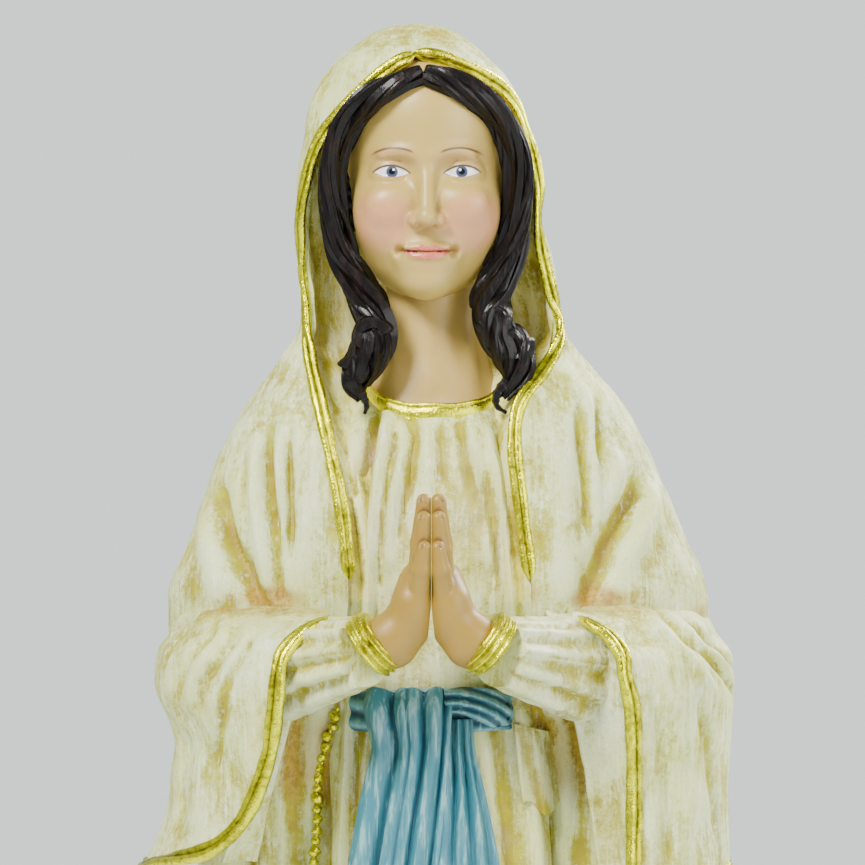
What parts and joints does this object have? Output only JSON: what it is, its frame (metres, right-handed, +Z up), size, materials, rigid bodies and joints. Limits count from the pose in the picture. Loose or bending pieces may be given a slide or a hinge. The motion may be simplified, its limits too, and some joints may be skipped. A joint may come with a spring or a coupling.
{
  "type": "madonna statue",
  "caption": "Standing praying woman in a hooded, gilt-edged mantle with a blue sash and a rosary, in painted cast resin on a round felt-footed base.",
  "frame": {"origin": "centre of the underside of the felt on the base, where the statue stands", "axes": "+Z up through the figure; the figure faces -Y; +X is towards its own left hand"},
  "size_m": [0.1232, 0.104, 0.4],
  "materials": {
    "cream_paint": "satin white dry-brushed over ochre gold, matt in the folds",
    "gilt": "bright gold paint, glossy",
    "flesh_paint": "smooth satin flesh paint",
    "hair_paint": "glossy dark brown paint",
    "blue_paint": "satin teal blue with pale dry-brushed ridges",
    "rock_paint": "matt stone paint with dry-brushed highlights",
    "steel": "plain turned dowel",
    "board": "grey-brown pressed board",
    "felt": "dark green felt"
  },
  "bodies": {
    "root": {"felt_pad": "felt", "base_board": "board", "base_ring": "cream_paint", "rockwork": "rock_paint", "base_dowels": "steel", "gown": "cream_paint", "gown_hem_trim": "gilt", "neckband": "gilt", "mantle": "cream_paint", "mantle_trim_right": "gilt", "mantle_trim_left": "gilt", "mantle_hem_trim": "gilt", "drape_right": "cream_paint", "drape_left": "cream_paint", "drape_trim_right": "gilt", "drape_trim_left": "gilt", "sleeve_right": "cream_paint", "sleeve_left": "cream_paint", "cuff_right": "gilt", "cuff_left": "gilt", "hand_right": "flesh_paint", "hand_left": "flesh_paint", "wrist_dowels": "steel", "head": "flesh_paint", "neck_dowel": "steel", "hair_right": "hair_paint", "hair_left": "hair_paint", "sash_band": "blue_paint", "sash_knot": "blue_paint", "sash_tail_right": "blue_paint", "sash_tail_left": "blue_paint", "rosary_beads": "gilt", "rosary_crucifix": "gilt", "foot_right": "flesh_paint", "foot_left": "flesh_paint", "rose_right": "gilt", "rose_left": "gilt"}
  },
  "joints": []
}
